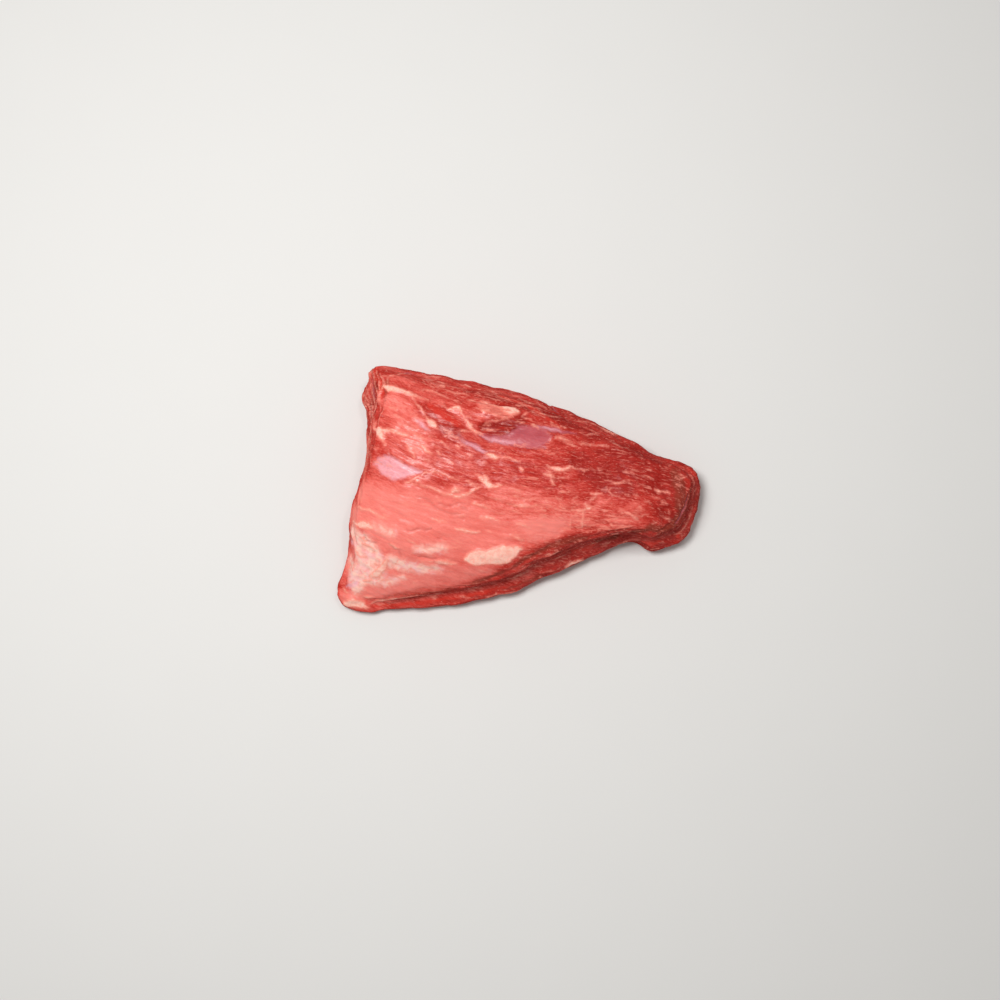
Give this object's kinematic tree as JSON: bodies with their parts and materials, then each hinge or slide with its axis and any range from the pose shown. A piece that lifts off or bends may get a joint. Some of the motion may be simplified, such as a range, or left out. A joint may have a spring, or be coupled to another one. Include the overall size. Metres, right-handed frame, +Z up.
{
  "type": "raw beef roasting joint",
  "caption": "Raw marbled beef roasting joint: a wedge of muscle with a wide cut end, tapering to a blunt rolled tip, lying flat.",
  "frame": {"origin": "centre of the bounding box, on the flat underside that the joint lies on", "axes": "+Z up, +X along the joint from the wide cut end to the tip, +Y towards the long far flank"},
  "size_m": [0.2264, 0.152, 0.0504],
  "materials": {
    "raw_beef": "moist"
  },
  "bodies": {
    "root": {"roasting_joint": "raw_beef"}
  },
  "joints": []
}
